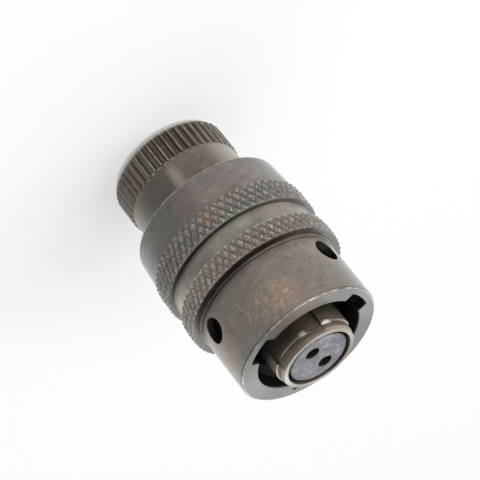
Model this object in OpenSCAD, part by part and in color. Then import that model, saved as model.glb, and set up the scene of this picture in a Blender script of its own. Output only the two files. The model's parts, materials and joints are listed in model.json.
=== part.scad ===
// Circular bayonet connector plug with two socket contacts.
// It stands on its clamp nut with the mating face up; the origin is the middle of the nut's rear face.

/* [Coupling ring] */
// Diameter of the plain front cylinder
front_d = 16.4; // [15.6:0.1:17.6]
// Length of the plain front cylinder
front_len = 7.4; // [6.6:0.1:9]
// Diameter of the thin bead behind the front cylinder
bead_d = 16.7; // [15.8:0.1:17.2]
// Width of the bead
bead_w = 0.28; // [0.2:0.02:0.6]
// Width of the narrow groove in front of the bead
neck_w = 0.14; // [0.1:0.02:0.4]
// Depth of that groove below the front cylinder
neck_depth = 0.16; // [0.05:0.01:0.4]
// Diameter over the tips of both knurled bands
grip_d = 18.5; // [18:0.1:20]
// Height of the knurl's diamonds
knurl_depth = 0.24; // [0.1:0.02:0.4]
// Diamonds around each knurled band
knurl_count = 62; // [40:2:90]
// Pitch of the diamonds along the axis
knurl_pitch = 1.62; // [1:0.02:2.4]
// Width of the front knurled band
front_grip_w = 2.3; // [1.6:0.1:3.2]
// Width of the plain waist between the knurled bands
waist_w = 2.23; // [1.4:0.01:3.2]
// Depth of the waist below the knurl's tips
waist_depth = 0.68; // [0.5:0.02:0.9]
// Width of the rear knurled band
rear_grip_w = 2.77; // [1.8:0.01:3.6]
// Length of the conical rear skirt
skirt_len = 4.25; // [3:0.05:6]
// Depth of the skirt's front end below the knurl's tips
skirt_step = 0.26; // [0.2:0.02:0.5]
// Fall of the skirt's surface from its front end to its rear edge
skirt_fall = 0.34; // [0.1:0.02:0.6]
// Edge break of the front face
front_edge = 0.2; // [0.1:0.02:0.5]
// Rounding of the skirt's rear edge
skirt_round = 0.3; // [0.1:0.02:0.6]
// Bore that takes the mating shell
coupling_bore_d = 12.5; // [12:0.1:13.2]
// Depth of that bore, from the front face to the inner shoulder
coupling_depth = 8.7; // [8:0.1:10.5]
// Diameter of the chamber behind the shoulder
chamber_d = 14.7; // [14.3:0.1:15.2]
// Bayonet slots around the bore
slot_count = 3; // [2:1:4]
// Width of an entry slot
slot_w = 3.6; // [2.8:0.1:4.2]
// Depth of an entry slot from the front face
slot_depth = 3.3; // [2.6:0.1:4]
// Depth of the slots into the bore's wall
slot_cut = 1.05; // [0.7:0.05:1.3]
// How much shallower the ramps are than the slots
ramp_rise = 0.06; // [0.03:0.01:0.2]
// Axial width of a ramp
ramp_w = 2.8; // [2.2:0.1:3.2]
// Turn from an entry slot to its sight hole
ramp_turn = 104; // [80:1:110]
// Diameter of a sight hole at the end of each ramp
sight_d = 2.85; // [2:0.05:3.2]
// Depth of the sight holes' centres from the front face
sight_depth = 5.55; // [5:0.05:6.2]

/* [Coupling spring] */
// Free height of the wave washer
wave_h = 1.5; // [1.1:0.05:1.8]
// Thickness of the wave washer's strip
wave_t = 0.3; // [0.2:0.02:0.45]
// Waves around the washer
wave_count = 3; // [2:1:5]
// Thickness of the thrust washer
thrust_t = 0.8; // [0.5:0.05:1.1]
// Thickness of the retaining ring
retain_t = 0.8; // [0.5:0.05:1.2]
// Depth of the retaining ring's groove in the chamber wall
retain_depth = 0.4; // [0.3:0.02:0.5]
// How far the retaining ring reaches in from the chamber wall
retain_reach = 0.85; // [0.5:0.05:1]
// Gap in each split ring
ring_gap_angle = 34; // [15:1:60]

/* [Plug shell] */
// Diameter of the keyed barrel
barrel_d = 9.1; // [8.7:0.05:9.5]
// Length of the barrel, from the flange to its tip
barrel_len = 10.62; // [9.5:0.02:12]
// Wall of the barrel
barrel_wall = 0.75; // [0.6:0.01:0.9]
// Step down from the barrel to its nose
nose_step = 0.19; // [0.1:0.01:0.26]
// Length of the nose
nose_len = 0.95; // [0.5:0.05:1.5]
// Axial length of the nose's chamfer
nose_chamfer = 0.42; // [0.2:0.02:0.48]
// Radial width of the nose's chamfer
nose_bevel = 0.12; // [0.05:0.01:0.2]
// Width of the master keyway
master_key_w = 1.9; // [1.4:0.05:2.2]
// Width of the four smaller keyways
minor_key_w = 1.1; // [0.7:0.05:1.3]
// Depth of the keyways
key_depth = 0.26; // [0.15:0.01:0.4]
// Length of the keyways from the tip
key_len = 8.4; // [6:0.1:9]
// Edge break between the barrel and its nose
barrel_edge = 0.17; // [0.05:0.01:0.19]
// Thickness of the flange
flange_t = 1.6; // [1.1:0.1:2.2]
// Height of the flange above the body behind it
flange_rise = 1.7; // [1.4:0.05:2]
// Length of the body behind the flange
body_len = 6.4; // [5.6:0.1:8]
// Length of the threaded tail
tail_len = 6.2; // [5:0.1:8]
// Wall of the threaded tail, up to the thread's crests
tail_wall = 1.2; // [0.9:0.05:1.4]
// Depth of the thread
thread_depth = 0.28; // [0.2:0.01:0.4]
// Thickness of the flat gasket on the flange
gasket_t = 0.9; // [0.5:0.05:1.3]

/* [Insert] */
// Width of the open ring between the insert's face and the barrel
face_gap = 0.4; // [0.25:0.01:0.6]
// Depth of that open ring
face_gap_depth = 2.7; // [1.5:0.1:4]
// How far the insert's face lies below the barrel's tip
face_recess = 0.1; // [0:0.02:0.6]
// Step from the insert's body out to its flange
insert_step = 0.5; // [0.3:0.05:0.7]
// Depth of the insert's seat below the flange's front face
seat_depth = 1.7; // [1.2:0.1:2.4]
// Thickness of the insert's flange
insert_flange_t = 2; // [1.4:0.1:2.6]
// Thickness of the retention plate
plate_t = 2.9; // [2.2:0.1:3.6]
// Floor under the clips in the retention plate
plate_floor = 0.3; // [0.2:0.02:0.6]
// Thickness of the insert's retaining ring
snap_t = 0.6; // [0.4:0.05:0.9]
// Depth of that ring's groove in the shell
snap_depth = 0.45; // [0.3:0.05:0.6]
// How far that ring reaches in from the shell's bore
snap_reach = 0.55; // [0.4:0.05:0.7]

/* [Contacts] */
// Distance between the two contacts
contact_pitch = 3.1; // [2.8:0.05:3.6]
// Entry hole in the insert's face
entry_d = 1.65; // [1.3:0.05:1.75]
// Bore of the socket
socket_bore_d = 1.06; // [1:0.01:1.12]
// Depth of the socket's bore
socket_depth = 6; // [4.5:0.1:7]
// Outside diameter of the slotted socket
socket_d = 1.52; // [1.4:0.02:1.6]
// Wall of the hood around the socket
hood_t = 0.16; // [0.12:0.01:0.22]
// Length of the hood
hood_len = 5.8; // [4.5:0.1:7]
// How far the hood stands out past the socket's tip
hood_stand = 0.2; // [0.1:0.02:0.4]
// Depth of the socket's tip below the insert's face
socket_recess = 1.7; // [1:0.1:2.4]
// Width of the slits between the socket's fingers
slit_w = 0.14; // [0.08:0.01:0.2]
// Distance from the slits' ends to the bottom of the socket's bore
slit_stop = 1.2; // [0.6:0.1:2]
// Diameter of the contact's collar
collar_d = 2.3; // [2.15:0.05:2.5]
// Thickness of the collar
collar_t = 0.75; // [0.4:0.05:1]
// Diameter of the crimp barrel
crimp_d = 1.72; // [1.6:0.02:1.8]
// Length of the crimp barrel
crimp_len = 7.5; // [6:0.1:8.5]
// Wire hole in the crimp barrel
wire_d = 1.2; // [0.9:0.05:1.3]
// Depth of the wire hole
wire_depth = 4.4; // [3:0.1:5.5]
// Wall of the retention clip
clip_t = 0.24; // [0.15:0.01:0.3]

/* [Clamp nut] */
// Diameter over the tips of the straight knurl
nut_grip_d = 13.44; // [13:0.02:14.4]
// Length of the straight knurl, with the rear bevel
nut_grip_len = 4.1; // [3:0.1:5.5]
// Teeth of the straight knurl
nut_teeth = 46; // [30:1:60]
// Depth of the straight knurl
nut_tooth_depth = 0.32; // [0.15:0.01:0.45]
// Width of the flat tip of a tooth
nut_tip_w = 0.18; // [0.08:0.01:0.24]
// Width of the flat floor between two teeth
nut_gap_w = 0.36; // [0.2:0.01:0.4]
// Depth of the bevel on the rear edge, a little below the knurl's floor
nut_bevel = 0.5; // [0.36:0.02:0.8]
// Length of that bevel along the axis
nut_bevel_len = 0.86; // [0.4:0.02:1.4]
// Diameter of the plain collar
nut_collar_d = 13.1; // [12.6:0.05:13.4]
// Thickness of the nut's rear wall
nut_floor = 1.3; // [0.9:0.05:2]
// Cable opening in the rear wall
cable_d = 6.8; // [6:0.1:7.2]
// Length of the follower
follower_len = 2.6; // [1.8:0.1:3.6]
// Bore of the follower
follower_bore_d = 7.4; // [6.4:0.1:8]
// How far the grommet stands out of the shell
grommet_stand = 1.1; // [0.6:0.1:1.8]
// Wire holes through the grommet's seals
seal_d = 1; // [0.7:0.05:1.4]
// Gap between the nut's front end and the shell's body
nut_front_gap = 0.2; // [0.1:0.05:0.6]

/* [Fits] */
// Radial clearance of parts that turn or slide on each other
run_fit = 0.05; // [0.02:0.01:0.08]
// Radial gap around the washers and the gasket
loose_gap = 0.25; // [0.15:0.01:0.35]

/* [Places around the axis] */
// Angle of the first entry slot
slot_angle = 68.5; // [0:0.5:360]
// Angle of the master keyway
key_angle = 251.5; // [0:0.5:360]
// Angle of the first contact
contact_angle = 279.5; // [0:0.5:360]

/* [Hidden] */
$fn = 96;

// Cutters reach this far past the faces they cut
reach = 1;
// The knurled bands sink this far into the ring's body
knurl_sink = 0.3;
// The diamonds at a band's ends are lower by this much
knurl_end_drop = 0.06;
// The skirt's front end runs this far under the rear band
skirt_tuck = 0.9;
// Angles of the smaller keyways from the master keyway
minor_key_angles = [-80, -142, -196, -293];
// Facets along one ramp and around the wave washer
ramp_steps = 20;
wave_steps = 72;
// Radius of the crimp barrel's inspection hole
peep_r = 0.28;
// Edge breaks of the small turned pieces
small_edge = 0.12;

// Heights up the axis, from the rear face of the clamp nut
z_follower = nut_floor;
z_grommet = z_follower + follower_len;
z_shell = z_grommet + grommet_stand;
z_tail_top = z_shell + tail_len;
z_flange = z_tail_top + body_len;
z_shoulder = z_flange + flange_t;
z_tip = z_shoulder + barrel_len;
z_nose = z_tip - nose_len;
z_ring_front = z_shoulder + coupling_depth;
z_neck = z_ring_front - front_len;
z_bead = z_neck - neck_w;
z_front_grip_top = z_bead - bead_w;
z_front_grip = z_front_grip_top - front_grip_w;
z_rear_grip_top = z_front_grip - waist_w;
z_rear_grip = z_rear_grip_top - rear_grip_w;
z_ring_rear = z_rear_grip - skirt_len;
z_thrust_top = z_flange - wave_h;
z_thrust = z_thrust_top - thrust_t;
z_retain = z_thrust - retain_t;
z_sight = z_ring_front - sight_depth;
z_seat = z_shoulder - seat_depth;
z_plate_top = z_seat - insert_flange_t;
z_plate = z_plate_top - plate_t;
z_snap = z_plate - snap_t;
z_face = z_tip - face_recess;
z_socket_tip = z_face - socket_recess;
z_hood_top = z_socket_tip + hood_stand;
z_hood = z_socket_tip - hood_len;
z_collar_top = z_plate_top + collar_t;
z_crimp = z_plate_top - crimp_len;
z_nut_front = z_tail_top - nut_front_gap;

// Radii that follow from the driving sizes
front_r = front_d / 2;
bead_r = bead_d / 2;
grip_r = grip_d / 2;
waist_r = grip_r - waist_depth;
skirt_front_r = grip_r - skirt_step;
skirt_rear_r = skirt_front_r - skirt_fall;
coupling_r = coupling_bore_d / 2;
slot_floor_r = coupling_r + slot_cut;
ramp_floor_r = slot_floor_r - ramp_rise;
chamber_r = chamber_d / 2;
flange_r = chamber_r - run_fit;
barrel_r = barrel_d / 2;
nose_r = barrel_r - nose_step;
front_bore_r = barrel_r - barrel_wall;
rear_bore_r = front_bore_r + insert_step;
thread_r = rear_bore_r + tail_wall;
thread_root_r = thread_r - thread_depth;
body_r = flange_r - flange_rise;
face_r = front_bore_r - face_gap;
nut_bore_r = thread_r + run_fit;
follower_r = nut_bore_r - run_fit;
nut_grip_r = nut_grip_d / 2;
nut_root_r = nut_grip_r - nut_tooth_depth;
nut_collar_r = nut_collar_d / 2;
socket_r = socket_d / 2;
socket_bore_r = socket_bore_d / 2;
stem_r = socket_r + hood_t;
crimp_r = crimp_d / 2;
clip_r = crimp_r + clip_t;

// Angle that a width takes up at a radius
function width_angle(width, r) = 2 * asin(width / 2 / r);

// Points of a quarter round from one angle to another
function arc(r, z, radius, from, to, steps = 4) =
    [for (i = [0:steps]) let (a = from + (to - from) * i / steps) [r + radius * cos(a), z + radius * sin(a)]];

// Point at a radius, angle and height
function polar(r, a, z) = [r * cos(a), r * sin(a), z];

// Turned solid from points given as radius and height
module turned(points) {
    rotate_extrude() polygon(points);
}

// Plain ring between two radii and two heights
module ring(inner, outer, low, high) {
    translate([0, 0, low])
        difference() {
            cylinder(r = outer, h = high - low);
            translate([0, 0, -reach]) cylinder(r = inner, h = high - low + 2 * reach);
        }
}

// Ring with a gap, opposite to the first contact
module split_ring(inner, outer, low, high) {
    translate([0, 0, low])
        rotate(contact_angle + 180 + ring_gap_angle / 2)
            rotate_extrude(angle = 360 - ring_gap_angle)
                translate([inner, 0]) square([outer - inner, high - low]);
}

// Strip swept through four-point sections in order of rising angle, closed on itself or capped
module swept_strip(sections, closed) {
    count = len(sections);
    spans = closed ? count : count - 1;
    points = [for (section = sections) for (p = section) p];
    sides = [for (i = [0:spans - 1]) for (k = [0:3])
        let (a = 4 * i + k, b = 4 * i + (k + 1) % 4)
        let (c = 4 * ((i + 1) % count) + (k + 1) % 4, d = 4 * ((i + 1) % count) + k)
        for (face = [[a, b, c], [a, c, d]]) face];
    last = 4 * (count - 1);
    caps = closed ? [] : [[3, 2, 1, 0], [last, last + 1, last + 2, last + 3]];
    polyhedron(points = points, faces = concat(sides, caps), convexity = 6);
}

// Diamond knurl: tips and valleys take turns on a grid of half pitches around and along the band
module diamond_knurl(low, width) {
    step = knurl_pitch / 2;
    rows = ceil(width / step);
    columns = 2 * knurl_count;
    valley_r = grip_r - knurl_depth;
    inner_r = waist_r - knurl_sink;
    end_part = width / step - rows + 1;
    function grid_r(row, column) = (row + column) % 2 == 1 ? valley_r : grip_r;
    function cut_r(row, column) = row < rows ? grid_r(row, column)
        : (1 - end_part) * grid_r(row - 1, column) + end_part * grid_r(row, column);
    function row_r(row, column) = row > 0 && row < rows ? grid_r(row, column)
        : min(cut_r(row, column), grip_r - knurl_end_drop);
    outside = [for (row = [0:rows]) for (column = [0:columns - 1])
        polar(row_r(row, column), column * 360 / columns, low + min(row * step, width))];
    inside = [for (z = [low, low + width]) for (column = [0:columns - 1])
        polar(inner_r, column * 360 / columns, z)];
    first_inside = (rows + 1) * columns;
    function at(row, column) = row * columns + column % columns;
    function in(end, column) = first_inside + end * columns + column % columns;
    facets = [for (row = [0:rows - 1]) for (column = [0:columns - 1])
        let (a = at(row, column), b = at(row, column + 1))
        let (c = at(row + 1, column + 1), d = at(row + 1, column))
        for (face = (row + column) % 2 == 0 ? [[a, d, b], [c, b, d]] : [[a, d, c], [a, c, b]]) face];
    ends = [for (column = [0:columns - 1])
        let (a = column, b = column + 1)
        for (face = [[at(0, a), at(0, b), in(0, b), in(0, a)],
            [at(rows, b), at(rows, a), in(1, a), in(1, b)],
            [in(0, a), in(0, b), in(1, b), in(1, a)]]) face];
    polyhedron(points = concat(outside, inside), faces = concat(facets, ends), convexity = 10);
}

// Groove that leads a bayonet pin from its entry slot down to its sight hole
module bayonet_ramp() {
    low_z = z_sight;
    high_z = z_ring_front - slot_depth + ramp_w / 2;
    inner = coupling_r - reach;
    swept_strip([for (i = [0:ramp_steps])
        let (part = i / ramp_steps, a = ramp_turn * (part - 1), z = low_z + (high_z - low_z) * part)
        [polar(inner, a, z - ramp_w / 2), polar(ramp_floor_r, a, z - ramp_w / 2),
            polar(ramp_floor_r, a, z + ramp_w / 2), polar(inner, a, z + ramp_w / 2)]], false);
}

// Entry slot, ramp and sight hole for one bayonet pin
module bayonet_track() {
    intersection() {
        translate([coupling_r - reach, -slot_w / 2, z_ring_front - slot_depth])
            cube([slot_cut + 2 * reach, slot_w, slot_depth + reach]);
        cylinder(r = slot_floor_r, h = z_ring_front + 2 * reach);
    }
    bayonet_ramp();
    rotate(-ramp_turn)
        translate([coupling_r - reach, 0, z_sight])
            rotate([0, 90, 0]) cylinder(d = sight_d, h = front_r - coupling_r + 2 * reach);
}

// Coupling ring, turned in one piece from its front cylinder to its skirt
module coupling_ring() {
    color("#8a8279")
        difference() {
            union() {
                turned(concat(
                    [[coupling_r, z_ring_front], [front_r - front_edge, z_ring_front],
                        [front_r, z_ring_front - front_edge], [front_r, z_neck],
                        [front_r - neck_depth, z_neck], [front_r - neck_depth, z_bead], [bead_r, z_bead],
                        [bead_r, z_front_grip_top - front_grip_w / 2],
                        [waist_r, z_front_grip_top - front_grip_w / 2],
                        [waist_r, z_rear_grip + skirt_tuck], [skirt_front_r, z_rear_grip + skirt_tuck],
                        [skirt_front_r, z_rear_grip]],
                    arc(skirt_rear_r - skirt_round, z_ring_rear + skirt_round, skirt_round, 0, -90),
                    [[coupling_r, z_ring_rear]]));
                diamond_knurl(z_front_grip, front_grip_w);
                diamond_knurl(z_rear_grip, rear_grip_w);
            }
            turned([[0, z_ring_rear - reach], [chamber_r, z_ring_rear - reach], [chamber_r, z_retain],
                [chamber_r + retain_depth, z_retain], [chamber_r + retain_depth, z_thrust],
                [chamber_r, z_thrust], [chamber_r, z_shoulder], [0, z_shoulder]]);
            for (i = [0:slot_count - 1]) rotate(slot_angle + i * 360 / slot_count) bayonet_track();
        }
}

// Keyway in the barrel, centred on an angle
module keyway(angle, width) {
    span = width_angle(width, barrel_r);
    translate([0, 0, z_tip - key_len])
        rotate(angle - span / 2)
            rotate_extrude(angle = span)
                translate([barrel_r - key_depth, 0]) square([key_depth + reach, key_len + reach]);
}

// Shell with its keyed barrel, flange, body and threaded tail
module plug_shell() {
    color("#6b5f55")
        difference() {
            turned([[front_bore_r, z_tip], [nose_r - nose_bevel, z_tip], [nose_r, z_tip - nose_chamfer],
                [nose_r, z_nose], [barrel_r - barrel_edge, z_nose], [barrel_r, z_nose - barrel_edge],
                [barrel_r, z_shoulder], [flange_r, z_shoulder], [flange_r, z_flange], [body_r, z_flange],
                [body_r, z_tail_top], [thread_root_r, z_tail_top], [thread_root_r, z_shell + small_edge],
                [thread_root_r - small_edge, z_shell], [rear_bore_r, z_shell], [rear_bore_r, z_snap],
                [rear_bore_r + snap_depth, z_snap], [rear_bore_r + snap_depth, z_plate],
                [rear_bore_r, z_plate], [rear_bore_r, z_seat], [front_bore_r, z_seat]]);
            keyway(key_angle, master_key_w);
            for (offset = minor_key_angles) keyway(key_angle + offset, minor_key_w);
        }
}

// Flat seal that the mating shell's edge presses on
module interface_gasket() {
    color("#3a3532") ring(barrel_r, coupling_r - loose_gap, z_shoulder, z_shoulder + gasket_t);
}

// Wavy spring strip between the flange and the thrust washer
module wave_washer() {
    inner = body_r + loose_gap;
    outer = chamber_r - loose_gap;
    swing = (wave_h - wave_t) / 2;
    color("#b9bcbe")
        swept_strip([for (i = [0:wave_steps - 1])
            let (a = 360 * i / wave_steps, z = z_thrust_top + swing * (1 + cos(wave_count * a)))
            [polar(inner, a, z), polar(outer, a, z), polar(outer, a, z + wave_t), polar(inner, a, z + wave_t)]],
            true);
}

// Flat washer that slides on the shell's body
module thrust_washer() {
    color("#a9a7a2") ring(body_r + run_fit, chamber_r - loose_gap, z_thrust, z_thrust_top);
}

// Split ring that holds the washers in the coupling ring
module retaining_ring() {
    color("#8d8f91") split_ring(chamber_r - retain_reach, chamber_r + retain_depth, z_retain, z_thrust);
}

// The piece at each contact's place: side 1 is contact a, side -1 is contact b
module at_contact(side) {
    rotate(contact_angle) translate([side * contact_pitch / 2, 0, 0]) children();
}

// Stepped hole for one contact in the insert
module insert_cavity() {
    translate([0, 0, z_plate_top - reach]) cylinder(d = collar_d, h = collar_t + reach);
    translate([0, 0, z_plate_top]) cylinder(r = stem_r, h = z_hood_top - z_plate_top);
    translate([0, 0, z_hood_top - reach]) cylinder(d = entry_d, h = z_face - z_hood_top + 2 * reach);
}

// Insulator with the grey face and two contact holes
module socket_insert() {
    z_gap = z_tip - face_gap_depth;
    color("#9b9da0")
        difference() {
            turned([[0, z_face], [face_r - small_edge, z_face], [face_r, z_face - small_edge], [face_r, z_gap],
                [front_bore_r, z_gap], [front_bore_r, z_seat], [rear_bore_r, z_seat],
                [rear_bore_r, z_plate_top], [0, z_plate_top]]);
            for (side = [1, -1]) at_contact(side) insert_cavity();
        }
}

// Hard disc that carries the retention clips
module retention_plate() {
    color("#2f2f33")
        difference() {
            translate([0, 0, z_plate]) cylinder(r = rear_bore_r, h = plate_t);
            for (side = [1, -1]) at_contact(side) {
                translate([0, 0, z_plate + plate_floor]) cylinder(r = clip_r, h = plate_t);
                translate([0, 0, z_plate - reach]) cylinder(r = crimp_r, h = plate_t);
            }
        }
}

// Split sleeve that locks one contact behind its collar
module retention_clip(side) {
    color("#c9a24a") at_contact(side) split_ring(crimp_r, clip_r, z_plate + plate_floor, z_plate_top);
}

module retention_clip_a() {
    retention_clip(1);
}

module retention_clip_b() {
    retention_clip(-1);
}

// Socket contact: slotted socket, stem, collar and crimp barrel
module socket_contact(side) {
    slit_len = socket_depth - slit_stop;
    color("#d8b24c")
        at_contact(side)
            difference() {
                turned([[0, z_socket_tip], [socket_r, z_socket_tip], [socket_r, z_hood], [stem_r, z_hood],
                    [stem_r, z_collar_top], [collar_d / 2, z_collar_top], [collar_d / 2, z_plate_top],
                    [crimp_r, z_plate_top], [crimp_r, z_crimp], [0, z_crimp]]);
                translate([0, 0, z_socket_tip - socket_depth])
                    cylinder(r = socket_bore_r, h = socket_depth + reach);
                for (turn = [0, 90])
                    rotate(turn)
                        translate([-socket_d, -slit_w / 2, z_socket_tip - slit_len])
                            cube([2 * socket_d, slit_w, slit_len + reach]);
                translate([0, 0, z_crimp - reach]) cylinder(d = wire_d, h = wire_depth + reach);
                translate([0, 0, z_crimp + wire_depth - 2 * peep_r])
                    rotate([0, 90, 0]) cylinder(r = peep_r, h = crimp_d);
            }
}

module socket_contact_a() {
    socket_contact(1);
}

module socket_contact_b() {
    socket_contact(-1);
}

// Steel sleeve around the socket's fingers
module contact_hood(side) {
    color("#c4c6c8") at_contact(side) ring(socket_r, stem_r, z_hood, z_hood_top);
}

module contact_hood_a() {
    contact_hood(1);
}

module contact_hood_b() {
    contact_hood(-1);
}

// Split ring that holds the plate and the insert in the shell
module insert_retaining_ring() {
    color("#8d8f91") split_ring(rear_bore_r - snap_reach, rear_bore_r + snap_depth, z_snap, z_plate);
}

// Rubber seal around the crimp barrels and wires
module wire_grommet() {
    nose = rear_bore_r - snap_reach;
    color("#b0592f")
        difference() {
            turned([[0, z_grommet], [rear_bore_r - small_edge, z_grommet],
                [rear_bore_r, z_grommet + small_edge], [rear_bore_r, z_snap], [nose, z_snap], [nose, z_plate],
                [0, z_plate]]);
            for (side = [1, -1]) at_contact(side) {
                translate([0, 0, z_crimp]) cylinder(r = crimp_r, h = z_plate - z_crimp + reach);
                translate([0, 0, z_grommet - reach]) cylinder(d = seal_d, h = z_crimp - z_grommet + 2 * reach);
            }
        }
}

// Ferrule that the clamp nut presses on the grommet
module grommet_follower() {
    bore_r = follower_bore_d / 2;
    color("#97948d")
        turned([[bore_r + small_edge, z_follower], [follower_r, z_follower], [follower_r, z_grommet],
            [bore_r, z_grommet], [bore_r, z_follower + small_edge]]);
}

// Straight knurl as a prism of flat-tipped teeth
module straight_knurl() {
    pitch = 360 / nut_teeth;
    tip = width_angle(nut_tip_w, nut_grip_r) / 2;
    foot = (pitch - width_angle(nut_gap_w, nut_root_r)) / 2;
    points = [for (i = [0:nut_teeth - 1])
        for (corner = [[nut_root_r, -foot], [nut_grip_r, -tip], [nut_grip_r, tip], [nut_root_r, foot]])
        let (a = i * pitch + corner[1])
        [corner[0] * cos(a), corner[0] * sin(a)]];
    linear_extrude(nut_grip_len) polygon(points);
}

// Clamp nut with its knurled grip, rear wall and plain collar
module clamp_nut() {
    rear_r = nut_grip_r - nut_bevel;
    over = 1 + small_edge / nut_bevel;
    color("#7d746a")
        difference() {
            union() {
                intersection() {
                    straight_knurl();
                    turned([[0, 0], [rear_r, 0], [rear_r + nut_bevel * over, nut_bevel_len * over],
                        [nut_grip_r + small_edge, nut_grip_len - small_edge],
                        [nut_grip_r - small_edge, nut_grip_len], [0, nut_grip_len]]);
                }
                translate([0, 0, nut_grip_len - small_edge])
                    cylinder(r = nut_collar_r, h = z_nut_front - nut_grip_len + small_edge);
            }
            turned([[0, -reach], [cable_d / 2, -reach], [cable_d / 2, nut_floor], [nut_bore_r, nut_floor],
                [nut_bore_r, z_nut_front + reach], [0, z_nut_front + reach]]);
        }
}

coupling_ring();
plug_shell();
interface_gasket();
wave_washer();
thrust_washer();
retaining_ring();
socket_insert();
retention_plate();
retention_clip_a();
retention_clip_b();
socket_contact_a();
socket_contact_b();
contact_hood_a();
contact_hood_b();
insert_retaining_ring();
wire_grommet();
grommet_follower();
clamp_nut();
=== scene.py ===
# %% [markdown]
# # A small bayonet cable plug
# The solids of this connector are already built at their real size: a knurled coupling ring, a keyed shell
# with its insert and contacts, and a clamp nut on the cable end. This lesson loads them as a fixed frame
# and gives each one the finish that the real plug has, so the shapes stay where the construction put them.

# %% Load the frame
import json
import math

import bpy
from mathutils import Matrix, Vector


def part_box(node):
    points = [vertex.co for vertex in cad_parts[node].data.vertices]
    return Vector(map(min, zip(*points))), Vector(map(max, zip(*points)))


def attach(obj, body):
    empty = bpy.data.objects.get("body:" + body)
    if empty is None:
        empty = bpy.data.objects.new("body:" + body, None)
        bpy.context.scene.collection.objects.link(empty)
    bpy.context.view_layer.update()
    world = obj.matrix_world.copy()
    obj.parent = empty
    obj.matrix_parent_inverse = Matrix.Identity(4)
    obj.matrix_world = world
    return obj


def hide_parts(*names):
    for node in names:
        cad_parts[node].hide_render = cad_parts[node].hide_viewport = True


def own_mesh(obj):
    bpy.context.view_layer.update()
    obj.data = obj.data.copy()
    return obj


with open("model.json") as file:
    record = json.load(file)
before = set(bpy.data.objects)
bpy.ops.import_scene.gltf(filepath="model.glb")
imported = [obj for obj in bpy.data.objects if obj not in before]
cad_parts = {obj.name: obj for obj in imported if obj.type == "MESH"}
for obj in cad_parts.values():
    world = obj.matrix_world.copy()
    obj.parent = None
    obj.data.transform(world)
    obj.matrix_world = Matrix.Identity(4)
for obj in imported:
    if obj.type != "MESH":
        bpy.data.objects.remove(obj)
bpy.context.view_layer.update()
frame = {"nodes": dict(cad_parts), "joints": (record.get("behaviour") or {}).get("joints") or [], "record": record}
nodes = frame["nodes"]
MM = 0.001
print("pieces in the frame:", len(nodes))

# %% [markdown]
# A lathe made almost every surface here, so most looks depend on two numbers only: the distance from the
# axis and the height along it. The ring's heights are measured back from its front face, in millimetres,
# the way a turner reads them off a drawing.

# %% Heights and radii in millimetres
RING_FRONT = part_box("coupling_ring")[1].z / MM
RING_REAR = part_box("coupling_ring")[0].z / MM
GRIP_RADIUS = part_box("coupling_ring")[1].x / MM
FRONT_RADIUS = GRIP_RADIUS - 1.05
KNURL_DEPTH = 0.24
NECK = RING_FRONT - 7.4
BEAD = RING_FRONT - 7.68
FRONT_BAND = (RING_FRONT - 10.12, RING_FRONT - 7.82)
REAR_BAND = (RING_FRONT - 15.12, RING_FRONT - 12.35)
SIGHT_HEIGHT = RING_FRONT - 5.55
SIGHT_ANGLES = (84.5, 204.5, 324.5)
SIGHT_RADIUS = 1.425
SHELL_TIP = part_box("plug_shell")[1].z / MM
SHELL_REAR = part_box("plug_shell")[0].z / MM
INSERT_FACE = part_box("socket_insert")[1].z / MM
NUT_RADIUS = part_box("clamp_nut")[1].x / MM
print(f"ring from {RING_REAR:.2f} to {RING_FRONT:.2f} mm, knurl radius {GRIP_RADIUS:.2f} mm")

# %% [markdown]
# The camera comes first, because everything after it is judged through it. The plug stands on its clamp
# nut, and the picture shows it leaning: that lean is only the camera's roll. A long lens from a quarter of
# a metre keeps the ellipses of the rings nearly parallel.

# %% Camera
CAMERA_PLACE = Vector((-1.12, -235.46, 147.03)) * MM
CAMERA_PITCH = math.radians(29.62)
CAMERA_ROLL = math.radians(141.66)
SENSOR = 36
PICTURE_PIXELS = 480
FOCAL_PIXELS = 2575
LENS = SENSOR * FOCAL_PIXELS / PICTURE_PIXELS
NEAREST_SEEN = 0.01

camera_data = bpy.data.cameras.new("camera")
camera_data.sensor_width = SENSOR
camera_data.lens = LENS
camera_data.clip_start = NEAREST_SEEN
camera = bpy.data.objects.new("camera", camera_data)
bpy.context.scene.collection.objects.link(camera)
tilt = Matrix.Rotation(math.pi / 2 - CAMERA_PITCH, 4, "X")
camera.matrix_world = Matrix.Translation(CAMERA_PLACE) @ tilt @ Matrix.Rotation(CAMERA_ROLL, 4, "Z")
bpy.context.scene.camera = camera
print(f"lens {LENS:.0f} mm at {CAMERA_PLACE.length:.3f} m from the base")

# %% [markdown]
# Shader maths reads best as plain expressions. This small class holds one output of a node tree. Adding,
# subtracting or multiplying it adds Math nodes, and its method node adds a node of any other kind: the
# settings first, then the values or links of its sockets.

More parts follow.
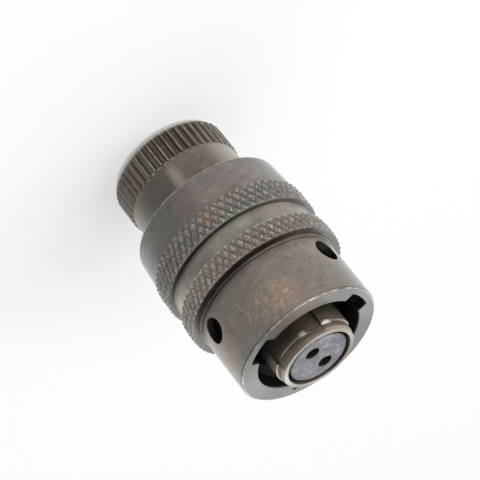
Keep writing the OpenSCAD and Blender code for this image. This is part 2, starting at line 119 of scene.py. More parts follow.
# %% A wire through a node tree
class Wire:
    """One output of a node tree; sums and products on it add Math nodes."""

    def __init__(self, tree, socket=None):
        self.tree = tree
        self.socket = socket

    def node(self, kind, settings=None, sockets=None, output=0):
        made = self.tree.nodes.new(kind)
        for name, value in (settings or {}).items():
            setattr(made, name, value)
        for key, value in (sockets or {}).items():
            wanted = made.inputs[key]
            if isinstance(value, Wire):
                self.tree.links.new(value.socket, wanted)
            else:
                wanted.default_value = value
        return Wire(self.tree, made.outputs[output] if made.outputs else None)

    def maths(self, operation, first, second):
        return self.node("ShaderNodeMath", {"operation": operation}, {0: first, 1: second})

    def __add__(self, other):
        return self.maths("ADD", self, other)

    def __radd__(self, other):
        return self.maths("ADD", other, self)

    def __sub__(self, other):
        return self.maths("SUBTRACT", self, other)

    def __rsub__(self, other):
        return self.maths("SUBTRACT", other, self)

    def __mul__(self, other):
        return self.maths("MULTIPLY", self, other)

    def __rmul__(self, other):
        return self.maths("MULTIPLY", other, self)

    def __abs__(self):
        return self.maths("ABSOLUTE", self, 0)


# %% [markdown]
# A finish is mostly masks and mixed colours. A mask is a number from 0 to 1 that says where something is,
# and these few helpers make one from a height, a radius or a noise. Places go by radius, angle and height,
# as the piece was turned.

# %% Masks, colours and places
def rise(value, low, high):
    """0 below low, 1 above high, smooth between."""
    return value.node("ShaderNodeMapRange", {"interpolation_type": "SMOOTHSTEP"},
                      {"Value": value, "From Min": low, "From Max": high})


def near(value, middle, half, soft):
    """1 within half of the middle, fading out over soft."""
    return 1 - rise(abs(value - middle), half, half + soft)


def between(value, low, high, soft):
    """1 from low to high, fading out over soft on both sides."""
    return near(value, (low + high) / 2, (high - low) / 2, soft)


def blend(factor, first, second):
    """Colour mix: the first colour at 0, the second at 1."""
    wire = next(w for w in (factor, first, second) if isinstance(w, Wire))
    return wire.node("ShaderNodeMix", {"data_type": "RGBA"}, {0: factor, 6: first, 7: second}, output=2)


def rgb(red, green, blue):
    return (red, green, blue, 1)


def around(radius, degrees, height):
    """The point at a radius, an angle around the axis and a height."""
    return radius * math.cos(math.radians(degrees)), radius * math.sin(math.radians(degrees)), height


# %% [markdown]
# Every finish starts the same way: a new material whose textures read the place on the piece in
# millimetres, from which the radius, the height, noise and single spots follow. It ends in a Principled
# shader. What varies is linked, and what is the same all over is set on the shader's own socket. Where
# pressed metal, dirt or a chip needs other constants, a further Principled shader is mixed in by its mask,
# as a layer.

# %% Start and end of a finish
SPOT_CORE = 0.25
finishes = {}


class Finish:
    """A material under construction, with the places that its textures use."""

    def __init__(self, name):
        self.material = bpy.data.materials.new(name)
        self.material.use_nodes = True
        self.tree = self.material.node_tree
        self.tree.nodes.clear()
        start = Wire(self.tree)
        place = start.node("ShaderNodeTexCoord", output="Object")
        self.place = start.node("ShaderNodeVectorMath", {"operation": "SCALE"}, {0: place, "Scale": 1 / MM})
        flat = start.node("ShaderNodeVectorMath", {"operation": "MULTIPLY"}, {0: self.place, 1: (1, 1, 0)})
        self.radius = start.node("ShaderNodeVectorMath", {"operation": "LENGTH"}, {0: flat}, output="Value")
        self.z = start.node("ShaderNodeSeparateXYZ", sockets={0: self.place}, output="Z")

    def noise(self, per_mm, detail=3, shift=0, squeeze=(1, 1, 1), roughness=0.55):
        """Noise with so many lumps to a millimetre, more of them along an axis that is squeezed."""
        moved = self.z.node("ShaderNodeVectorMath", {"operation": "MULTIPLY_ADD"},
                            {0: self.place, 1: tuple(per_mm * s for s in squeeze), 2: (shift, shift, shift)})
        return self.z.node("ShaderNodeTexNoise", {"noise_dimensions": "3D"},
                           {"Vector": moved, "Scale": 1, "Detail": detail, "Roughness": roughness})

    def spot(self, centre, size, squeeze=(1, 1, 1)):
        """1 at a point, fading out at a distance of size; a squeeze above 1 shortens it along that axis."""
        off = self.z.node("ShaderNodeVectorMath", {"operation": "SUBTRACT"}, {0: self.place, 1: centre})
        off = self.z.node("ShaderNodeVectorMath", {"operation": "MULTIPLY"}, {0: off, 1: squeeze})
        away = self.z.node("ShaderNodeVectorMath", {"operation": "LENGTH"}, {0: off}, output="Value")
        return 1 - rise(away, SPOT_CORE * size, size)

    def bump(self, height, depth_mm):
        return self.z.node("ShaderNodeBump",
                           sockets={"Strength": 1, "Distance": depth_mm * MM, "Height": height})

    def close(self, linked, fixed, layers=()):
        shader = self.z.node("ShaderNodeBsdfPrincipled", sockets={**linked, **fixed})
        for mask, changed in layers:
            other = self.z.node("ShaderNodeBsdfPrincipled", sockets={**linked, **changed})
            shader = self.z.node("ShaderNodeMixShader", sockets={0: mask, 1: shader, 2: other})
        self.z.node("ShaderNodeOutputMaterial", sockets={"Surface": shader})
        print("finish:", self.material.name, "with", len(self.tree.nodes), "nodes")
        return self.material


# %% [markdown]
# The ring and the nut are aluminium with an olive-brown plating. Such a plating is never one colour: its
# thin film drifts between mauve and green-grey over a few millimetres. Slow noise mixes those tones into a
# ground that each piece chooses for itself, and a finer cloud darkens it or rubs it pale. Turned faces
# stretch their highlights around the axis, while pressed knurls do not.

# %% The plating's colour
TURNED = {"Metallic": 0.92, "Anisotropic": 0.95, "Anisotropic Rotation": 0.25, "Coat Weight": 1,
          "Coat Roughness": 0.3}
PRESSED = {"Metallic": 0.92, "Coat Weight": 1, "Coat Roughness": 0.25}
# A near-black layer that stands for painted shade in hollows and gaps.
PAINTED_SHADE_LAYER = {"Base Color": rgb(0.011, 0.009, 0.007), "Roughness": 0.9, "Specular IOR Level": 0.1}
MAUVE = rgb(0.250, 0.196, 0.180)
GREEN_GREY = rgb(0.215, 0.218, 0.182)
# Grime also serves as painted shade, and the worn and bare tones also as painted highlights.
GRIME_AND_SHADE = rgb(0.030, 0.024, 0.019)
WORN_AND_HIGHLIGHT = rgb(0.52, 0.48, 0.42)
BARE_AND_HIGHLIGHT = rgb(0.74, 0.71, 0.66)


def plating_colour(f, ground, tints=1):
    colour = blend(rise(f.noise(0.16, 2), 0.40, 0.62) * (0.8 * tints), ground, MAUVE)
    colour = blend(rise(f.noise(0.19, 2, shift=31), 0.46, 0.68) * (0.6 * tints), colour, GREEN_GREY)
    cloud = f.noise(0.9, 5, shift=83, squeeze=(1, 1, 1.6), roughness=0.7)
    colour = blend(rise(cloud, 0.50, 0.72) * 0.4, colour, GRIME_AND_SHADE)
    return blend((1 - rise(cloud, 0.28, 0.48)) * 0.3, colour, WORN_AND_HIGHLIGHT)


def turning_marks(f):
    """Fine lines left around the piece by the tool."""
    return f.noise(1, 3, shift=5, squeeze=(0.12, 0.12, 9))


# %% [markdown]
# The coupling ring has three grounds: brown in front, grey between its two knurled bands, and a darker
# brown from the rear band back. On the front cylinder the film is thick enough to show olive, pink and tan
# clouds. Flecks cross it, thickest in the tan patch and along one trail, and there is one short scratch.
# Each mark is a named place with its size, and a squeeze where it isn't round.

# %% Coupling ring: ground and film
RING_BROWN = rgb(0.248, 0.196, 0.160)
RING_GREY = rgb(0.410, 0.368, 0.325)
SKIRT_BROWN = rgb(0.180, 0.166, 0.150)
OLIVE = rgb(0.240, 0.225, 0.165)
PINK = rgb(0.330, 0.225, 0.190)
TAN = rgb(0.410, 0.272, 0.170)
SCRATCHED = rgb(0.62, 0.56, 0.46)
GROUND_EDGE = 0.1
OLIVE_CLOUD = (around(FRONT_RADIUS, 288, RING_FRONT - 4.2), 4.0)
PINK_CLOUD = (around(FRONT_RADIUS, 260, RING_FRONT - 2.0), 3.6)
TAN_PATCH = (around(FRONT_RADIUS, 271, RING_FRONT - 2.6), 3.6, (1, 1, 1.2))
FLECK_TRAIL = (around(FRONT_RADIUS, 293, RING_FRONT - 3.4), 2.6, (4, 4, 1))
SCRATCH = (around(FRONT_RADIUS, 258.5, RING_FRONT - 2.4), 0.5, (1, 1, 4))


def ring_ground(f):
    front = rise(f.z, FRONT_BAND[0] - GROUND_EDGE, FRONT_BAND[0] + GROUND_EDGE)
    ahead = rise(f.z, REAR_BAND[1] - GROUND_EDGE, REAR_BAND[1] + GROUND_EDGE)
    return plating_colour(f, blend(ahead, SKIRT_BROWN, blend(front, RING_GREY, RING_BROWN)))


def ring_film(f, colour):
    mottle = rise(f.noise(1.3, 4, shift=57, roughness=0.7), 0.35, 0.7)
    patch = f.spot(*TAN_PATCH) * (0.3 + 0.8 * mottle)
    colour = blend(f.spot(*OLIVE_CLOUD) * 0.55, colour, OLIVE)
    colour = blend(f.spot(*PINK_CLOUD) * (0.4 + 0.4 * mottle), colour, PINK)
    colour = blend(patch * 0.85, colour, TAN)
    smooth = between(f.z, NECK + 0.2, RING_FRONT - 0.2, 0.2)
    flecks = f.noise(2.6, 3, shift=91, roughness=0.7)
    trail = f.spot(*FLECK_TRAIL) + patch * 0.8
    pale = (1 - rise(flecks - 0.06 * trail, 0.30, 0.50)) * (0.18 + 0.6 * trail)
    colour = blend(smooth * rise(flecks, 0.50, 0.72) * 0.2, colour, GRIME_AND_SHADE)
    colour = blend(smooth * pale, colour, WORN_AND_HIGHLIGHT)
    return blend(f.spot(*SCRATCH) * 0.8, colour, SCRATCHED)


# %% [markdown]
# In the two knurled bands the valleys are darkened, grime with painted shade, and the tips are made pale, wear
# with painted highlights, both found from the radius. A fine grain breaks them up, and one spot on the rear band
# has rusted.

# %% Coupling ring: knurled bands
RUST = rgb(0.40, 0.19, 0.07)
RUST_SPOT = (around(GRIP_RADIUS, 272, REAR_BAND[0] + 1), 1.1)


def ring_bands(f, colour, in_band):
    tips = rise(f.radius, GRIP_RADIUS - 0.20, GRIP_RADIUS - 0.11)
    valleys = 1 - rise(f.radius, GRIP_RADIUS - KNURL_DEPTH, GRIP_RADIUS - KNURL_DEPTH + 0.07)
    worn_and_highlit = rise(f.noise(1.1, 3, shift=61, roughness=0.7), 0.34, 0.68)
    grain = f.noise(3.2, 4, shift=29, roughness=0.75)
    # Darker valleys: grime and painted shade.
    colour = blend(in_band * (0.2 + 0.25 * valleys), colour, GRIME_AND_SHADE)
    # Pale and bare tips: wear and painted highlights.
    colour = blend(in_band * tips * worn_and_highlit * 0.45, colour, WORN_AND_HIGHLIGHT)
    colour = blend(in_band * rise(grain, 0.50, 0.68) * 0.45, colour, GRIME_AND_SHADE)
    colour = blend(in_band * tips * (1 - rise(grain, 0.34, 0.44)) * 0.8, colour, BARE_AND_HIGHLIGHT)
    return blend(f.spot(*RUST_SPOT) * 0.35, colour, RUST)


# %% [markdown]
# Painted shade darkens the places that lie in shade: the steps beside the bands, the walls of the sight holes and
# all of the inside. It is a layer of its own, so the first function returns only its mask. A thinner stain lies at
# the neck, where the front cylinder ends, with a thin painted shadow in the corner there, and three broad places
# are darkened as painted shade.

# %% Coupling ring: painted shade and a stain
# Where the painted shade in the front step is darkest, and how far it reaches around each sight hole.
STEP_SHADE_SPOT = (around(GRIP_RADIUS, 266, FRONT_BAND[1] - 1.5), 7.8)
SIGHT_SHADE_SIZE = 2.6 * SIGHT_RADIUS
# Three broad places darkened as painted shade.
SKIRT_SHADE = (around(GRIP_RADIUS, 294, RING_REAR + 2.2), 5.2, (1, 1, 0.6))
BAND_SHADE = (around(GRIP_RADIUS, 320, REAR_BAND[0] + 1.2), 4)
FRONT_SHADE = (around(FRONT_RADIUS, 212, RING_FRONT - 1.5), 4.5)


# Mask of the painted shade in the steps beside the bands, on the sight holes' walls and all over the inside.
def ring_painted_shade(f, outside, deep):
    steps = between(f.z, FRONT_BAND[1], BEAD + 0.06, 0.04) + near(f.z, REAR_BAND[1], 0.02, 0.05) * 0.9
    painted_shade = steps * outside * deep * (0.15 + 0.65 * f.spot(*STEP_SHADE_SPOT))
    wall = 1 - rise(f.radius, FRONT_RADIUS - 0.14, FRONT_RADIUS - 0.06)
    for angle in SIGHT_ANGLES:
        painted_shade = painted_shade + f.spot(around(FRONT_RADIUS, angle, SIGHT_HEIGHT), SIGHT_SHADE_SIZE) * wall * 0.95
    inside = 1 - rise(f.radius, FRONT_RADIUS - 1.2, FRONT_RADIUS - 0.6)
    return painted_shade + inside * (1 - rise(f.z, RING_FRONT - 0.3, RING_FRONT - 0.05))


def ring_stain_and_shade(f, colour, outside):
    # A stain at the neck, with a thin painted shadow in the corner where the front cylinder ends.
    stain = between(f.z, NECK, NECK + 0.3, 0.7) * rise(f.noise(0.8, 3, shift=77), 0.35, 0.6)
    colour = blend((stain + near(f.z, NECK, 0.03, 0.1)) * outside * 0.35, colour, GRIME_AND_SHADE)
    # Painted shade at the three places.
    shade = f.spot(*SKIRT_SHADE) + f.spot(*BAND_SHADE) + f.spot(*FRONT_SHADE) * 0.5
    return blend(shade * 0.35, colour, GRIME_AND_SHADE)


# %% [markdown]
# The front face is greyer than the cylinder behind it and browner in one place. Around it runs a chamfer darkened
# as a painted dark reflection. The bead's front face is lightened as a painted highlight. On the front edge, on
# the front band's rear edge and on the skirt's rear edge, where the ring gets knocked, the plating has worn
# through.

# %% Coupling ring: face and edges
FACE_GREY = rgb(0.200, 0.194, 0.186)
EDGE_BROWN = rgb(0.120, 0.088, 0.062)
FACE_RADIUS = 7.2
FACE_FILM = (around(FACE_RADIUS, 262, RING_FRONT), 4.2)
SKIRT_EDGE_RADIUS = 8.4


def ring_edges(f, colour, outside, deep):
    face = rise(f.z, RING_FRONT - 0.02, RING_FRONT - 0.01)
    colour = blend(face * 0.75, colour, FACE_GREY)
    colour = blend(face * f.spot(*FACE_FILM) * 0.6, colour, RING_BROWN)
    chamfer = rise(f.z, RING_FRONT - 0.26, RING_FRONT - 0.2)
    # The chamfer is darkened as a painted dark reflection.
    colour = blend(chamfer * near(f.radius, FRONT_RADIUS - 0.04, 0.05, 0.04) * 0.7, colour, EDGE_BROWN)
    # The bead's front face is lightened as a painted highlight.
    bead = near(f.z, BEAD + 0.14, 0.01, 0.03) * outside * deep
    colour = blend(bead * 0.3, colour, WORN_AND_HIGHLIGHT)
    front_edge = chamfer * near(f.radius, FRONT_RADIUS - 0.17, 0.04, 0.04)
    skirt_edge = rise(f.radius, SKIRT_EDGE_RADIUS - 0.2, SKIRT_EDGE_RADIUS)
    skirt_edge = skirt_edge * (1 - rise(f.z, RING_REAR + 0.12, RING_REAR + 0.4))
    band_edge = near(f.z, FRONT_BAND[0], 0.02, 0.10) * rise(f.radius, GRIP_RADIUS - 0.35, GRIP_RADIUS - 0.2)
    worn = front_edge * 0.9 + skirt_edge * 0.6 + band_edge * 0.6
    return blend(worn * rise(f.noise(1.6, 3, shift=19), 0.35, 0.7), colour, BARE_AND_HIGHLIGHT)


# %% [markdown]
# These parts make up the ring's finish, each laid over the one before: film, bands, a stain with painted shade,
# then the face and edges, worn and partly painted light. The bands are pressed instead of turned, and the layer of
# painted shade lies over everything.

# %% Coupling ring finish
def ring_finish():
    f = Finish("ring_plating")
    in_band = between(f.z, *FRONT_BAND, 0.02) + between(f.z, *REAR_BAND, 0.02)
    outside = rise(f.radius, FRONT_RADIUS - 0.18, FRONT_RADIUS - 0.16)
    deep = 1 - rise(f.radius, FRONT_RADIUS + 0.25, GRIP_RADIUS - 0.05)
    colour = ring_film(f, ring_ground(f))
    colour = ring_bands(f, colour, in_band)
    colour = ring_stain_and_shade(f, colour, outside)
    colour = ring_edges(f, colour, outside, deep)
    marks = turning_marks(f)
    roughness = 0.46 + 0.08 * f.noise(1.1, 3, shift=23) + 0.04 * marks - 0.12 * in_band
    bump = f.bump(marks + 0.5 * f.noise(4, 3, shift=41), 0.002)
    linked = {"Base Color": colour, "Roughness": roughness, "Normal": bump}
    # The pressed bands are mixed in, and the painted shade layer over everything.
    return f.close(linked, TURNED, [(in_band, PRESSED), (ring_painted_shade(f, outside, deep), PAINTED_SHADE_LAYER)])


finishes["ring_plating"] = ring_finish()

# %% [markdown]
# The nut wears the same plating, darker and browner. On its straight knurl the tips of the teeth are pale, wear
# with painted highlights, and the floors between them are darkened as painted shade, but on one calm side the tips
# are darker and show little of either. The collar in front has one place darkened as painted shade and two pale
# painted highlights, and the bevel at the rear is made almost bare as a painted highlight.

# %% Clamp nut finish
NUT_BROWN = rgb(0.120, 0.091, 0.064)
COLLAR_BROWN = rgb(0.166, 0.128, 0.094)
NUT_TOOTH = 0.32
NUT_FLOOR = NUT_RADIUS - NUT_TOOTH
NUT_GRIP_LENGTH = 4.1
NUT_BEVEL = 0.4
CALM_SIDE = (around(NUT_RADIUS, 322, 2), 5.5)
COLLAR_SHADE = (around(NUT_RADIUS, 295, 6.6), 4.2, (1, 1, 0.7))
COLLAR_STREAK = (around(NUT_RADIUS, 270, 6.4), 1.0, (1, 1, 0.35))
COLLAR_SHEEN = (around(NUT_RADIUS, 207, 5.6), 3.2)


def nut_grip(f, colour, in_grip, calm):
    tips = rise(f.radius, NUT_RADIUS - 0.14, NUT_RADIUS - 0.03)
    worn_and_highlit = (0.05 + 0.35 * rise(f.noise(1.2, 3, shift=67), 0.4, 0.7)) * (1 - calm)
    colour = blend(in_grip * tips * worn_and_highlit, colour, WORN_AND_HIGHLIGHT)
    return blend(in_grip * tips * calm * 0.45, colour, GRIME_AND_SHADE)


def nut_collar(f, colour, on_collar):
    # Painted shade on one side of the collar.
    colour = blend(f.spot(*COLLAR_SHADE) * on_collar * 0.55, colour, GRIME_AND_SHADE)
    # Painted highlights: a reflected streak and a sheen on the lit side.
    pale = f.spot(*COLLAR_STREAK) * 0.5 + f.spot(*COLLAR_SHEEN) * 0.35
    return blend(pale * on_collar, colour, WORN_AND_HIGHLIGHT)


def nut_finish():
    f = Finish("nut_plating")
    in_grip = 1 - rise(f.z, NUT_GRIP_LENGTH - 0.02, NUT_GRIP_LENGTH + 0.02)
    outside = rise(f.radius, NUT_FLOOR - 0.06, NUT_FLOOR - 0.04)
    floors = 1 - rise(f.radius, NUT_FLOOR + 0.02, NUT_FLOOR + 0.12)
    calm = f.spot(*CALM_SIDE)
    # Groove floors darkened as painted shade, less on the calm side.
    painted_shade = in_grip * outside * floors * rise(f.z, NUT_BEVEL - 0.1, NUT_BEVEL + 0.1) * (0.45 - 0.4 * calm)
    colour = plating_colour(f, blend(in_grip, COLLAR_BROWN, NUT_BROWN), tints=0.35)
    colour = nut_grip(f, colour, in_grip, calm)
    colour = nut_collar(f, colour, 1 - in_grip)
    front_edge = near(f.z, NUT_GRIP_LENGTH, 0.02, 0.06) * outside
    bevel = (1 - rise(f.z, NUT_BEVEL, 2 * NUT_BEVEL)) * rise(f.radius, NUT_RADIUS - 0.52, NUT_RADIUS - 0.45)
    colour = blend(front_edge * 0.3, colour, WORN_AND_HIGHLIGHT)
    # The rear bevel is made almost bare as a painted highlight.
    colour = blend(bevel * 0.85, colour, BARE_AND_HIGHLIGHT)
    marks = turning_marks(f)
    roughness = 0.40 + 0.08 * f.noise(1.1, 3, shift=17) + 0.04 * marks
    bump = f.bump(marks + 0.5 * f.noise(4, 3, shift=71), 0.002)
    linked = {"Base Color": colour, "Roughness": roughness, "Normal": bump}
    return f.close(linked, TURNED, [(in_grip, PRESSED), (painted_shade, PAINTED_SHADE_LAYER)])


finishes["nut_plating"] = nut_finish()

# %% [markdown]
# The shell's barrel is browner and glossier than the ring. Its tip is where every mating part touches first, so
# the flat rim is worn, bare on one side, and the nose's chamfer is a tan in between. One side of the barrel is
# lightened as painted light. The step behind the nose is darkened as painted shade except in two places painted
# bare as highlights, and beside those are two pale painted glints.

# %% Shell finish
BARREL_BROWN = rgb(0.215, 0.160, 0.122)
BARREL_OLIVE = rgb(0.170, 0.155, 0.116)
NOSE_TAN = rgb(0.36, 0.265, 0.210)
# A pale, non-metal layer for two painted glints.
PAINTED_GLINT = {"Base Color": rgb(0.70, 0.67, 0.62), "Roughness": 0.5}
BARREL_RADIUS = 4.55
NOSE_STEP = SHELL_TIP - 0.95
PAINTED_LIGHT_SIDE = (around(BARREL_RADIUS, 318, SHELL_TIP - 1.4), 3.6)
BARE_RIM = (around(BARREL_RADIUS, 330, SHELL_TIP), 4)
FIRST_STEP_HIGHLIGHT = (around(BARREL_RADIUS, 265, SHELL_TIP - 0.9), 0.9)
SECOND_STEP_HIGHLIGHT = (around(BARREL_RADIUS, 231, SHELL_TIP - 0.9), 0.9)
FIRST_GLINT = (around(BARREL_RADIUS, 268, SHELL_TIP - 1.20), 0.62, (1, 1, 2.8))
SECOND_GLINT = (around(BARREL_RADIUS, 231, SHELL_TIP - 1.10), 0.62, (1, 1, 2.4))


def shell_finish():
    f = Finish("shell_plating")
    nose = rise(f.z, SHELL_TIP - 0.44, SHELL_TIP - 0.36)
    step = near(f.z, NOSE_STEP, 0.02, 0.05)
    rim = rise(f.z, SHELL_TIP - 0.03, SHELL_TIP - 0.01)
    # Two places on the step made bare as painted highlights, and two painted glints beside them.
    step_highlights = f.spot(*FIRST_STEP_HIGHLIGHT) + f.spot(*SECOND_STEP_HIGHLIGHT)
    glints = (f.spot(*FIRST_GLINT) * 0.8 + f.spot(*SECOND_GLINT)) * (0.4 + f.noise(5, 3, shift=81))
    colour = blend(rise(f.noise(0.5, 2), 0.4, 0.65), BARREL_BROWN, BARREL_OLIVE)
    colour = blend(rise(f.noise(1.9, 4, shift=33, roughness=0.7), 0.5, 0.75) * 0.3, colour, WORN_AND_HIGHLIGHT)
    # One side of the barrel lightened as painted light.
    colour = blend(f.spot(*PAINTED_LIGHT_SIDE) * 0.35, colour, WORN_AND_HIGHLIGHT)
    colour = blend(nose * 0.6, colour, NOSE_TAN)
    # The step darkened as painted shade, then bare where the painted highlights are.
    colour = blend(step * 0.7, colour, GRIME_AND_SHADE)
    colour = blend(step * step_highlights, colour, BARE_AND_HIGHLIGHT)
    colour = blend(rim * (0.4 + 0.5 * f.noise(2.5, 2, shift=9)), colour, WORN_AND_HIGHLIGHT)
    colour = blend(rim * f.spot(*BARE_RIM) * 0.7, colour, BARE_AND_HIGHLIGHT)
    roughness = 0.28 + 0.12 * f.noise(1.6, 3, shift=13) + rim * 0.2 + step * (0.3 - 0.4 * step_highlights)
    bump = f.bump(turning_marks(f) + 0.5 * f.noise(6, 2, shift=3), 0.003)
    linked = {"Base Color": colour, "Roughness": roughness, "Normal": bump}
    return f.close(linked, {**TURNED, "Coat Weight": 0.5}, [(glints, PAINTED_GLINT)])


finishes["shell_plating"] = shell_finish()

# %% [markdown]
# The insert is moulded grey plastic. Pins have scratched its face and dust sits on it, which shows as pale smudges
# on a slightly blue grey. Below the face, on its sides and in its holes, a layer of painted shade makes it nearly
# black.

# %% Insert finish
INSERT_GREY = rgb(0.180, 0.184, 0.197)
INSERT_DARK = rgb(0.112, 0.115, 0.122)
DUST = rgb(0.43, 0.43, 0.465)


def insert_finish():
    f = Finish("insert_plastic")
    colour = blend(rise(f.noise(0.9, 3), 0.36, 0.66), INSERT_GREY, INSERT_DARK)
    dust = rise(f.noise(1.7, 5, shift=19, roughness=0.75), 0.50, 0.66)
    colour = blend(dust * 0.6, colour, DUST)
    below = 1 - rise(f.z, INSERT_FACE - 0.16, INSERT_FACE - 0.1)
    roughness = 0.40 + 0.2 * f.noise(2.1, 3, shift=29)
    bump = f.bump(f.noise(7, 3, shift=37), 0.008)
    linked = {"Base Color": colour, "Roughness": roughness, "Normal": bump}
    # Painted shade below the face.
    return f.close(linked, {}, [(below * 0.9, PAINTED_SHADE_LAYER)])


finishes["insert_plastic"] = insert_finish()

# %% [markdown]
# The small pieces inside get simpler finishes of two families: bare metals, and moulded or rubbery stuff.
# They differ in tone, shade and gloss, so one function makes each family and a short table holds the
# differences.

# %% Small metal, plastic and rubber pieces
METALS = {
    "spring_steel": (rgb(0.56, 0.57, 0.58), rgb(0.42, 0.42, 0.43), 0.22),
    "washer_steel": (rgb(0.52, 0.51, 0.48), rgb(0.40, 0.39, 0.37), 0.28),
    "clip_alloy": (rgb(0.66, 0.47, 0.22), rgb(0.52, 0.36, 0.17), 0.28),
    "contact_gold": (rgb(0.83, 0.61, 0.25), rgb(0.74, 0.52, 0.20), 0.18),
    "hood_steel": (rgb(0.60, 0.61, 0.62), rgb(0.46, 0.46, 0.47), 0.22),
    "follower_metal": (rgb(0.50, 0.47, 0.42), rgb(0.40, 0.37, 0.33), 0.32),
}
MOULDINGS = {
    "gasket_rubber": (rgb(0.06, 0.053, 0.05), rgb(0.035, 0.032, 0.03), 0.55),
    "grommet_rubber": (rgb(0.40, 0.12, 0.05), rgb(0.32, 0.09, 0.04), 0.5),
    "plate_plastic": (rgb(0.05, 0.05, 0.06), rgb(0.035, 0.035, 0.04), 0.4),
    "letter_plastic": (rgb(0.46, 0.46, 0.49), rgb(0.30, 0.30, 0.33), 0.45),
}


def bare_metal(name, tone, shade, gloss):
    f = Finish(name)
    colour = blend(rise(f.noise(1.3, 3), 0.35, 0.7), tone, shade)
    roughness = gloss + 0.14 * f.noise(2.4, 3, shift=7)
    bump = f.bump(turning_marks(f), 0.003)
    return f.close({"Base Color": colour, "Roughness": roughness, "Normal": bump}, {"Metallic": 1})


def moulded(name, tone, shade, gloss):
    f = Finish(name)
    colour = blend(rise(f.noise(0.9, 3), 0.35, 0.7), tone, shade)
    roughness = gloss + 0.16 * f.noise(2.2, 3, shift=7)
    bump = f.bump(f.noise(6, 3, shift=43), 0.008)
    return f.close({"Base Color": colour, "Roughness": roughness, "Normal": bump}, {})


for name, look in METALS.items():
    finishes[name] = bare_metal(name, *look)
for name, look in MOULDINGS.items():
    finishes[name] = moulded(name, *look)

# %% [markdown]
# Each solid names the slot of the finish it takes, so one loop dresses them all. The round faces are
# already smooth: only the finish changes here.

# %% Dress the solids
for piece in frame["record"]["subparts"]:
    solid = nodes[piece["node"]]
    solid.data.materials.clear()
    solid.data.materials.append(finishes[piece["material_slot"]])

# %% [markdown]
# Behind the shell's flange a wavy spring washer pulls the coupling ring back. It flattens when the ring floats
# forward, and a rigid solid cannot do that. A copy of its mesh, with a mesh of its own, stands for it on the shell
# and the solid is hidden; the copy is not squashed.

# %% Wave washer on the shell
wave_low, wave_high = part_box("wave_washer")
wave_height = wave_high.z - wave_low.z
float_travel = next(joint for joint in frame["joints"] if joint["name"] == "ring_float")["range_m"][1]

wave_spring = bpy.data.objects.new("wave_spring", nodes["wave_washer"].data.copy())
bpy.context.scene.collection.objects.link(wave_spring)
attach(wave_spring, "shell")
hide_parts("wave_washer")
1 - float_travel / wave_height
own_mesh(wave_spring)
print(f"wave washer {wave_height / MM:.2f} mm high, flattens by {float_travel / MM:.2f} mm")

# %% [markdown]
# The tail of the shell carries a fine screw thread, which shows when the clamp nut is backed off. The solid
# under it is turned down to the thread's root, so the ridge itself is added here: one four-sided section
# swept up a helix, with both ends fading into the tail.

# %% Thread on the tail
INCH = 25.4
THREADS_PER_INCH = 28
THREAD_PITCH = INCH / THREADS_PER_INCH
THREAD_CREST = 5.5
THREAD_ROOT = 5.19
THREAD_SPAN = (SHELL_REAR + 0.55, SHELL_REAR + 5.75)
RIDGE_FOOT = 0.40 * THREAD_PITCH
RIDGE_TOP = 0.06 * THREAD_PITCH
FADING_TURNS = 0.25
STEPS_PER_TURN = 72


def add_piece(name, points, faces, body, slot):
    mesh = bpy.data.meshes.new(name)
    mesh.from_pydata([tuple(c * MM for c in p) for p in points], [], faces)
    mesh.validate()
    mesh.update()
    mesh.materials.append(finishes[slot])
    made = bpy.data.objects.new(name, mesh)
    bpy.context.scene.collection.objects.link(made)
    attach(made, body)
    print(name, len(mesh.polygons), "faces")
    return made


def thread_mesh():
    turns = (THREAD_SPAN[1] - THREAD_SPAN[0]) / THREAD_PITCH
    count = round(turns * STEPS_PER_TURN)
    points, faces = [], []
    for i in range(count + 1):
        turn = turns * i / count
        fade = min(1, turn / FADING_TURNS, (turns - turn) / FADING_TURNS)
        crest = THREAD_ROOT + (THREAD_CREST - THREAD_ROOT) * fade
        height = THREAD_SPAN[0] + turn * THREAD_PITCH
        section = ((THREAD_ROOT, -RIDGE_FOOT), (crest, -RIDGE_TOP),
                   (crest, RIDGE_TOP), (THREAD_ROOT, RIDGE_FOOT))
        for radius, lift in section:
            points.append(around(radius, 360 * turn, height + lift))
    for i in range(count):
        for k in range(4):
            low, high = 4 * i + k, 4 * i + (k + 1) % 4
            faces.append((low, low + 4, high + 4, high))
    return points, faces + [(3, 2, 1, 0), tuple(range(4 * count, 4 * count + 4))]


add_piece("tail_thread", *thread_mesh(), "shell", "shell_plating")

# %% [markdown]
# Moulded beside each contact hole is its letter, A or B, in strokes hardly thicker than a hair. A stroke is
# a flat bar between two points, so a letter is the place of its corner and a short list of strokes, on a
# grid one letter high.

# %% Letters on the insert
LETTER_HEIGHT = 0.85
LETTER_PROUD = 0.03
STROKE = 0.13
LETTERS = {
    "contact_letter_a": ((-1.55, -1.55), (
        (0, 0, 0.32, 1), (0.32, 1, 0.64, 0), (0.13, 0.36, 0.51, 0.36))),
    "contact_letter_b": ((-1.98, 0.62), (
        (0, 0, 0, 1), (0, 1, 0.4, 0.9), (0.4, 0.9, 0.4, 0.6), (0.4, 0.6, 0, 0.52),
        (0.4, 0.55, 0.5, 0.4), (0.5, 0.4, 0.5, 0.12), (0.5, 0.12, 0, 0))),
}
BAR_FACES = ((0, 3, 2, 1), (4, 5, 6, 7), (0, 1, 5, 4), (1, 2, 6, 5), (2, 3, 7, 6), (3, 0, 4, 7))


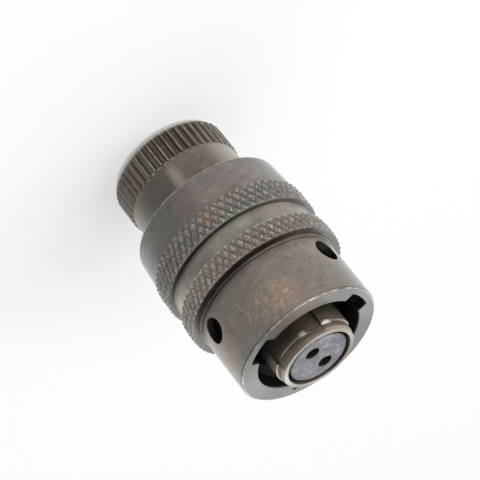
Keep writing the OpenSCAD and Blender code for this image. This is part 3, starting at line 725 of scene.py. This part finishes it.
def letter_mesh(corner, strokes):
    points, faces = [], []
    for x0, y0, x1, y1 in strokes:
        start = Vector((x0, y0)) * LETTER_HEIGHT
        end = Vector((x1, y1)) * LETTER_HEIGHT
        side = (end - start).orthogonal().normalized() * (STROKE / 2)
        first = len(points)
        for z in (INSERT_FACE - LETTER_PROUD, INSERT_FACE + LETTER_PROUD):
            for p in (start + side, start - side, end - side, end + side):
                points.append((corner[0] + p.x, corner[1] + p.y, z))
        for face in BAR_FACES:
            faces.append(tuple(first + i for i in face))
    return points, faces


for name, (corner, strokes) in LETTERS.items():
    letter = add_piece(name, *letter_mesh(corner, strokes), "shell", "insert_plastic")
    letter.data.materials[0] = finishes["letter_plastic"]

# %% [markdown]
# A plain pale floor carries the plug and its shadow. To the light it is matt white paper. Seen by the
# camera or in a reflection it is greyer paper with some light of its own: together they read as the white
# of the picture, and the shadow on it stays faint.

# %% Floor
FLOOR_SIZE = 6
FLOOR_DROP = 0.02 * MM
FLOOR_WHITE = 0.86
FLOOR_SEEN = 0.50
FLOOR_LIFT = 0.47

half = FLOOR_SIZE / 2
corners = [(-half, -half, 0), (half, -half, 0), (half, half, 0), (-half, half, 0)]
floor_mesh = bpy.data.meshes.new("floor")
floor_mesh.from_pydata(corners, [], [(0, 1, 2, 3)])
floor = bpy.data.objects.new("floor", floor_mesh)
floor.location.z = -FLOOR_DROP
bpy.context.scene.collection.objects.link(floor)

paper = bpy.data.materials.new("floor_paper")
paper.use_nodes = True
paper.node_tree.nodes.clear()
start = Wire(paper.node_tree)
seen = start.node("ShaderNodeLightPath", output="Is Camera Ray")
shine = start.node("ShaderNodeLightPath", output="Is Glossy Ray")
through = start.node("ShaderNodeLightPath", output="Is Transmission Ray")
matt = start.node("ShaderNodeBsdfDiffuse", sockets={"Color": rgb(FLOOR_WHITE, FLOOR_WHITE, FLOOR_WHITE)})
soft = start.node("ShaderNodeBsdfDiffuse", sockets={"Color": rgb(FLOOR_SEEN, FLOOR_SEEN, FLOOR_SEEN)})
glow = start.node("ShaderNodeEmission", sockets={"Color": rgb(1, 1, 1), "Strength": FLOOR_LIFT})
lifted = start.node("ShaderNodeAddShader", sockets={0: soft, 1: glow})
surface = start.node("ShaderNodeMixShader", sockets={0: seen + shine + through, 1: matt, 2: lifted})
start.node("ShaderNodeOutputMaterial", sockets={"Surface": surface})
floor_mesh.materials.append(paper)
print("floor", FLOOR_SIZE, "m wide")

# %% [markdown]
# Metal shows what stands around it, so the studio matters as much as the finish. The world is a white tent
# with a brighter roof. Behind the plug stands a still brighter, slightly blue wall, which the faces that
# look up mirror to the camera, and one side in front fades to dark. Camera rays alone see plain white in
# its place.

# %% World
TENT_WHITE = 0.45
ROOF_WHITE = 0.55
WALL_TINT = rgb(0.92, 0.975, 1)
WALL_WHITE = 1.75
WALL_SIDE = (-0.31, 0.95, 0)
DARK_SIDE = (0.82, -0.57, 0)

world = bpy.data.worlds.new("tent")
bpy.context.scene.world = world
world.use_nodes = True
world.node_tree.nodes.clear()
start = Wire(world.node_tree)
direction = start.node("ShaderNodeTexCoord", output="Generated")


def towards(side):
    """How far a direction looks towards a side: 1 straight at it, -1 straight away."""
    return start.node("ShaderNodeVectorMath", {"operation": "DOT_PRODUCT"}, {0: direction, 1: side},
                      output="Value")


height = start.node("ShaderNodeSeparateXYZ", sockets={0: direction}, output="Z")
lit = rise(towards(WALL_SIDE), -0.5, 0.4) * (1 - rise(height, 0.3, 0.6))
roof = rise(height, 0.6, 0.85)
dark = rise(towards(DARK_SIDE), 0.3, 1)
tent = TENT_WHITE * (1 - dark) + ROOF_WHITE * roof + WALL_WHITE * lit
seen = start.node("ShaderNodeLightPath", output="Is Camera Ray")
strength = seen + (1 - seen) * tent
tint = blend(lit * (1 - seen), rgb(1, 1, 1), WALL_TINT)
light = start.node("ShaderNodeBackground", sockets={"Color": tint, "Strength": strength})
start.node("ShaderNodeOutputWorld", sockets={"Surface": light})
print("world", world.name, "with", len(world.node_tree.nodes), "nodes")

# %% [markdown]
# One long lamp overhead gives the edges their thin bright lines. It hangs to one side, between plug and
# camera, and looks down at the middle of the plug.

# %% Lamp
LAMP_PLACE = Vector((-0.16, -0.085, 0.31))
LAMP_TARGET = Vector((0, 0, 0.02))
LAMP_LENGTH = 0.42
LAMP_WIDTH = 0.08
LAMP_WATTS = 0.40

lamp_data = bpy.data.lights.new("overhead", "AREA")
lamp_data.shape = "RECTANGLE"
lamp_data.size = LAMP_LENGTH
lamp_data.size_y = LAMP_WIDTH
lamp_data.energy = LAMP_WATTS
lamp = bpy.data.objects.new("overhead", lamp_data)
lamp.location = LAMP_PLACE
lamp.rotation_euler = (LAMP_TARGET - LAMP_PLACE).to_track_quat("-Z", "Y").to_euler()
bpy.context.scene.collection.objects.link(lamp)
print(f"lamp of {LAMP_WATTS} W, {(LAMP_TARGET - LAMP_PLACE).length:.2f} m away")

# %% [markdown]
# Last, colours are shown as they are, without a film curve.

# %% Close
bpy.context.scene.view_settings.view_transform = "Standard"
